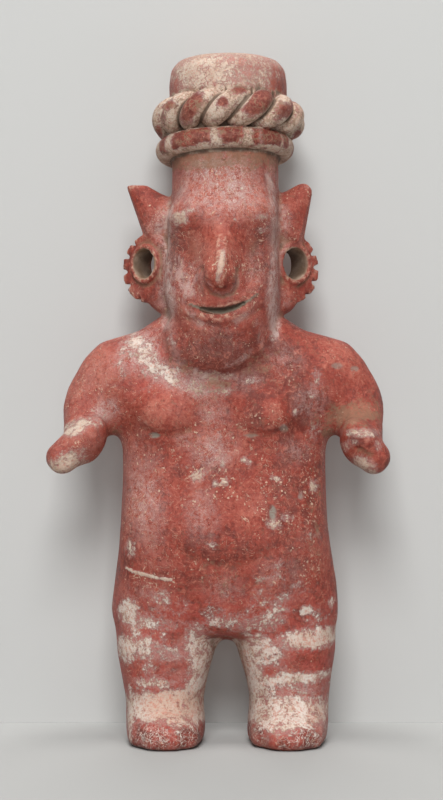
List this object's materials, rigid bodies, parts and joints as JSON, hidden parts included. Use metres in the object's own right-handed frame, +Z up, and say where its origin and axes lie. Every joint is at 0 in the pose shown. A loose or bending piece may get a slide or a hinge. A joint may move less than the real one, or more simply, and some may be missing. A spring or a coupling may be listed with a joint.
{
  "type": "standing female figure",
  "caption": "Hollow fired-clay standing female figure with short arms, stub legs, pierced ear ornaments, rolled and twisted headbands and a round cap; stands on its two feet.",
  "frame": {"origin": "on the ground, under the middle of the figure's box", "axes": "+Z up along the figure's height, -Y the way the face and toes point, +X to the viewer's right when facing the figure"},
  "size_m": [0.2414, 0.126, 0.4926],
  "materials": {
    "slipped_clay": "burnished red slip over buff earthenware, worn, with remains of white paint"
  },
  "bodies": {
    "root": {"standing_female_figure": "slipped_clay"}
  },
  "joints": []
}
